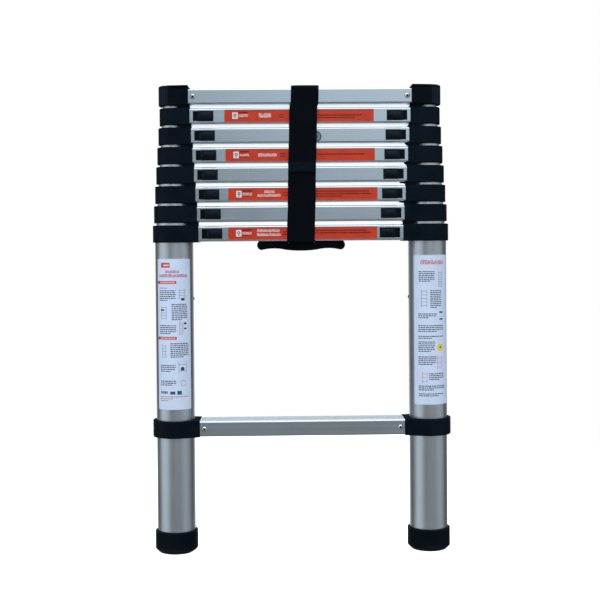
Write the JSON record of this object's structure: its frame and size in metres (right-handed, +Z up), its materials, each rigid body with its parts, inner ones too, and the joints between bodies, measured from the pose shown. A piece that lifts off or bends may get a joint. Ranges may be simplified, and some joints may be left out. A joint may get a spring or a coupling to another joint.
{
  "type": "telescoping ladder",
  "caption": "Free-standing telescoping ladder stored closed: nested round tube legs, a stack of box rungs with thumb latches in moulded collars, carry handle and strap.",
  "frame": {"origin": "on the floor, midway between the two legs, on the plane of the tube axes", "axes": "+Z up along the tubes, -Y out of the front that carries the release buttons, +X to the right seen from the front"},
  "size_m": [0.4628, 0.0698, 0.7195],
  "materials": {
    "tube_aluminium": "satin anodised, finely drawn along the tube",
    "rung_aluminium": "satin anodised extrusion",
    "collar_plastic": "moulded, fine grain",
    "foot_rubber": "moulded, matt",
    "guide_plastic": "low-friction nylon",
    "spring_steel": "drawn wire",
    "button_plastic": "semi-gloss moulding; the lock pin in it is bright steel",
    "screw_steel": "zinc-plated",
    "handle_plastic": "moulded, fine grain",
    "strap_webbing": "woven webbing"
  },
  "bodies": {
    "base": {"outer_tubes": "tube_aluminium", "feet": "foot_rubber", "bottom_collars": "collar_plastic", "rung_0": "rung_aluminium", "base_fasteners": "screw_steel", "carry_handle": "handle_plastic", "strap_base": "strap_webbing", "rung_1": "rung_aluminium", "collars_1": "collar_plastic", "latch_springs_1": "spring_steel"},
    "section_2": {"tubes_2": "tube_aluminium", "slip_guides_2": "guide_plastic", "rung_2": "rung_aluminium", "collars_2": "collar_plastic", "latch_springs_2": "spring_steel"},
    "section_3": {"tubes_3": "tube_aluminium", "slip_guides_3": "guide_plastic", "rung_3": "rung_aluminium", "collars_3": "collar_plastic", "latch_springs_3": "spring_steel"},
    "section_4": {"tubes_4": "tube_aluminium", "slip_guides_4": "guide_plastic", "rung_4": "rung_aluminium", "collars_4": "collar_plastic", "latch_springs_4": "spring_steel"},
    "section_5": {"tubes_5": "tube_aluminium", "slip_guides_5": "guide_plastic", "rung_5": "rung_aluminium", "collars_5": "collar_plastic", "latch_springs_5": "spring_steel"},
    "section_6": {"tubes_6": "tube_aluminium", "slip_guides_6": "guide_plastic", "rung_6": "rung_aluminium", "collars_6": "collar_plastic", "latch_springs_6": "spring_steel"},
    "section_7": {"tubes_7": "tube_aluminium", "slip_guides_7": "guide_plastic", "rung_7": "rung_aluminium", "collars_7": "collar_plastic", "latch_springs_7": "spring_steel"},
    "section_8": {"tubes_8": "tube_aluminium", "slip_guides_8": "guide_plastic", "rung_8": "rung_aluminium", "end_caps": "collar_plastic", "top_screws": "screw_steel", "strap": "strap_webbing"},
    "latch_1_left": {"latch_1_left": "button_plastic"},
    "latch_1_right": {"latch_1_right": "button_plastic"},
    "latch_2_left": {"latch_2_left": "button_plastic"},
    "latch_2_right": {"latch_2_right": "button_plastic"},
    "latch_3_left": {"latch_3_left": "button_plastic"},
    "latch_3_right": {"latch_3_right": "button_plastic"},
    "latch_4_left": {"latch_4_left": "button_plastic"},
    "latch_4_right": {"latch_4_right": "button_plastic"},
    "latch_5_left": {"latch_5_left": "button_plastic"},
    "latch_5_right": {"latch_5_right": "button_plastic"},
    "latch_6_left": {"latch_6_left": "button_plastic"},
    "latch_6_right": {"latch_6_right": "button_plastic"},
    "latch_7_left": {"latch_7_left": "button_plastic"},
    "latch_7_right": {"latch_7_right": "button_plastic"}
  },
  "joints": [
    {"name": "section_2_extend", "type": "slide", "parent": "base", "child": "section_2", "axis": [0, 0, 1], "range_m": [0, 0.27]},
    {"name": "section_3_extend", "type": "slide", "parent": "section_2", "child": "section_3", "axis": [0, 0, 1], "range_m": [0, 0.27]},
    {"name": "section_4_extend", "type": "slide", "parent": "section_3", "child": "section_4", "axis": [0, 0, 1], "range_m": [0, 0.27]},
    {"name": "section_5_extend", "type": "slide", "parent": "section_4", "child": "section_5", "axis": [0, 0, 1], "range_m": [0, 0.27]},
    {"name": "section_6_extend", "type": "slide", "parent": "section_5", "child": "section_6", "axis": [0, 0, 1], "range_m": [0, 0.27]},
    {"name": "section_7_extend", "type": "slide", "parent": "section_6", "child": "section_7", "axis": [0, 0, 1], "range_m": [0, 0.27]},
    {"name": "section_8_extend", "type": "slide", "parent": "section_7", "child": "section_8", "axis": [0, 0, 1], "range_m": [0, 0.27]},
    {"name": "latch_1_left_release", "type": "slide", "parent": "base", "child": "latch_1_left", "axis": [1, 0, 0], "range_m": [0, 0.008], "stiffness_N_per_m": 800, "springref_m": -0.006, "deforming": ["latch_springs_1"]},
    {"name": "latch_1_right_release", "type": "slide", "parent": "base", "child": "latch_1_right", "axis": [-1, 0, 0], "range_m": [0, 0.008], "stiffness_N_per_m": 800, "springref_m": -0.006, "deforming": ["latch_springs_1"]},
    {"name": "latch_2_left_release", "type": "slide", "parent": "section_2", "child": "latch_2_left", "axis": [1, 0, 0], "range_m": [0, 0.008], "stiffness_N_per_m": 800, "springref_m": -0.006, "deforming": ["latch_springs_2"]},
    {"name": "latch_2_right_release", "type": "slide", "parent": "section_2", "child": "latch_2_right", "axis": [-1, 0, 0], "range_m": [0, 0.008], "stiffness_N_per_m": 800, "springref_m": -0.006, "deforming": ["latch_springs_2"]},
    {"name": "latch_3_left_release", "type": "slide", "parent": "section_3", "child": "latch_3_left", "axis": [1, 0, 0], "range_m": [0, 0.008], "stiffness_N_per_m": 800, "springref_m": -0.006, "deforming": ["latch_springs_3"]},
    {"name": "latch_3_right_release", "type": "slide", "parent": "section_3", "child": "latch_3_right", "axis": [-1, 0, 0], "range_m": [0, 0.008], "stiffness_N_per_m": 800, "springref_m": -0.006, "deforming": ["latch_springs_3"]},
    {"name": "latch_4_left_release", "type": "slide", "parent": "section_4", "child": "latch_4_left", "axis": [1, 0, 0], "range_m": [0, 0.008], "stiffness_N_per_m": 800, "springref_m": -0.006, "deforming": ["latch_springs_4"]},
    {"name": "latch_4_right_release", "type": "slide", "parent": "section_4", "child": "latch_4_right", "axis": [-1, 0, 0], "range_m": [0, 0.008], "stiffness_N_per_m": 800, "springref_m": -0.006, "deforming": ["latch_springs_4"]},
    {"name": "latch_5_left_release", "type": "slide", "parent": "section_5", "child": "latch_5_left", "axis": [1, 0, 0], "range_m": [0, 0.008], "stiffness_N_per_m": 800, "springref_m": -0.006, "deforming": ["latch_springs_5"]},
    {"name": "latch_5_right_release", "type": "slide", "parent": "section_5", "child": "latch_5_right", "axis": [-1, 0, 0], "range_m": [0, 0.008], "stiffness_N_per_m": 800, "springref_m": -0.006, "deforming": ["latch_springs_5"]},
    {"name": "latch_6_left_release", "type": "slide", "parent": "section_6", "child": "latch_6_left", "axis": [1, 0, 0], "range_m": [0, 0.008], "stiffness_N_per_m": 800, "springref_m": -0.006, "deforming": ["latch_springs_6"]},
    {"name": "latch_6_right_release", "type": "slide", "parent": "section_6", "child": "latch_6_right", "axis": [-1, 0, 0], "range_m": [0, 0.008], "stiffness_N_per_m": 800, "springref_m": -0.006, "deforming": ["latch_springs_6"]},
    {"name": "latch_7_left_release", "type": "slide", "parent": "section_7", "child": "latch_7_left", "axis": [1, 0, 0], "range_m": [0, 0.008], "stiffness_N_per_m": 800, "springref_m": -0.006, "deforming": ["latch_springs_7"]},
    {"name": "latch_7_right_release", "type": "slide", "parent": "section_7", "child": "latch_7_right", "axis": [-1, 0, 0], "range_m": [0, 0.008], "stiffness_N_per_m": 800, "springref_m": -0.006, "deforming": ["latch_springs_7"]}
  ]
}
